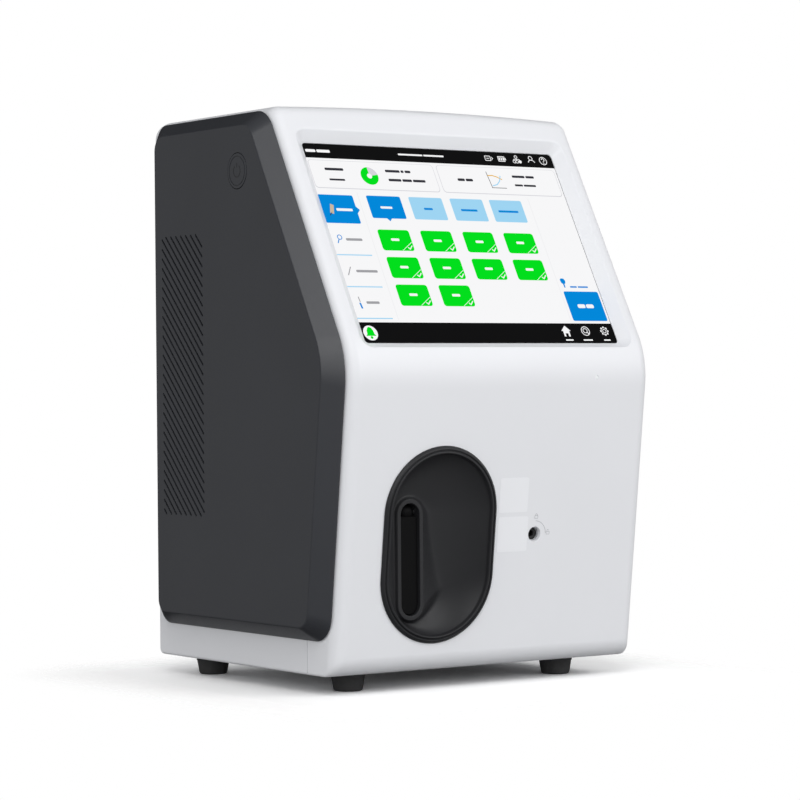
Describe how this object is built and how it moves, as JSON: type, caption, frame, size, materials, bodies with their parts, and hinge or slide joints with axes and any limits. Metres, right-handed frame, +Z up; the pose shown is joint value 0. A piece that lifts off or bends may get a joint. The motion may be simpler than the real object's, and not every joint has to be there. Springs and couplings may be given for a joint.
{
  "type": "blood gas analyzer",
  "caption": "Benchtop blood gas analyzer with a sloping touch screen, a sculpted sample port with swing-out probe, a vented side cover, a hinged reagent door, a key lock and rubber feet.",
  "frame": {"origin": "centre of the footprint on the surface it stands on", "axes": "+Z up, -Y towards the user in front of the screen, +X to the user's right"},
  "size_m": [0.2787, 0.2526, 0.394],
  "materials": {
    "white_plastic": "fine satin texture",
    "charcoal_plastic": "fine matt texture",
    "port_plastic": "satin",
    "black_plastic": "matt",
    "black_rubber": "matt",
    "screen_glass": "gloss",
    "lamp_plastic": "clear gloss",
    "steel": "brushed",
    "galvanised_steel": "zinc coated",
    "aluminium": "bead blasted",
    "circuit_board": "solder mask",
    "grey_plastic": "matt",
    "pack_plastic": "satin",
    "blue_plastic": "satin",
    "silicone": "soft matt"
  },
  "bodies": {
    "housing": {"front_cover": "white_plastic", "rear_housing": "white_plastic", "left_side_cover": "charcoal_plastic", "port_bezel": "port_plastic", "lcd_module": "black_plastic", "door_catch": "black_plastic", "pump_head": "black_plastic", "pump_motor": "black_plastic", "fan_frame": "black_plastic", "power_inlet": "black_plastic", "foot_front_left": "black_rubber", "foot_front_right": "black_rubber", "foot_rear_left": "black_rubber", "foot_rear_right": "black_rubber", "touch_glass": "screen_glass", "status_light_pipe": "lamp_plastic", "hinge_bracket_lower": "steel", "hinge_bracket_upper": "steel", "hinge_pin_lower": "steel", "hinge_pin_upper": "steel", "probe_shaft": "steel", "lock_sleeve": "steel", "screen_frame": "galvanised_steel", "base_plate": "galvanised_steel", "bulkhead": "galvanised_steel", "power_supply": "galvanised_steel", "io_panel": "galvanised_steel", "cassette_holder": "aluminium", "main_board": "circuit_board", "switch_board": "circuit_board", "bay_shelf": "grey_plastic", "bay_tray": "grey_plastic", "reagent_pack": "pack_plastic", "sensor_cassette": "blue_plastic", "battery_pack": "blue_plastic", "pump_tube": "silicone"},
    "door": {"right_door": "charcoal_plastic", "door_strike": "steel"},
    "button": {"power_button": "charcoal_plastic"},
    "probe": {"probe_lever": "port_plastic", "probe_needle": "steel"},
    "lock": {"lock_spindle": "black_plastic"},
    "pump_rotor": {"pump_rotor": "grey_plastic"},
    "fan_rotor": {"fan_rotor": "black_plastic"}
  },
  "joints": [
    {"name": "door_hinge", "type": "hinge", "parent": "housing", "child": "door", "pos_m": [0.1312, 0.11105, 0.21], "axis": [0, 0, 1], "range_deg": [0, 100]},
    {"name": "button_press", "type": "slide", "parent": "housing", "child": "button", "axis": [1, 0, 0], "range_m": [0, 0.0012], "stiffness_N_per_m": 300},
    {"name": "probe_swing", "type": "hinge", "parent": "housing", "child": "probe", "pos_m": [-0.0659, -0.0992, 0.11954], "axis": [-1, 0, 0], "range_deg": [0, 45]},
    {"name": "lock_turn", "type": "hinge", "parent": "housing", "child": "lock", "pos_m": [0.0323, -0.10795, 0.10232], "axis": [0, 0.9928, 0.1201], "range_deg": [0, 90]},
    {"name": "pump_spin", "type": "hinge", "parent": "housing", "child": "pump_rotor", "pos_m": [0.0138, 0.06905, 0.256], "axis": [1, 0, 0], "continuous": true},
    {"name": "fan_spin", "type": "hinge", "parent": "housing", "child": "fan_rotor", "pos_m": [-0.115, 0.06265, 0.265], "axis": [1, 0, 0], "continuous": true}
  ]
}
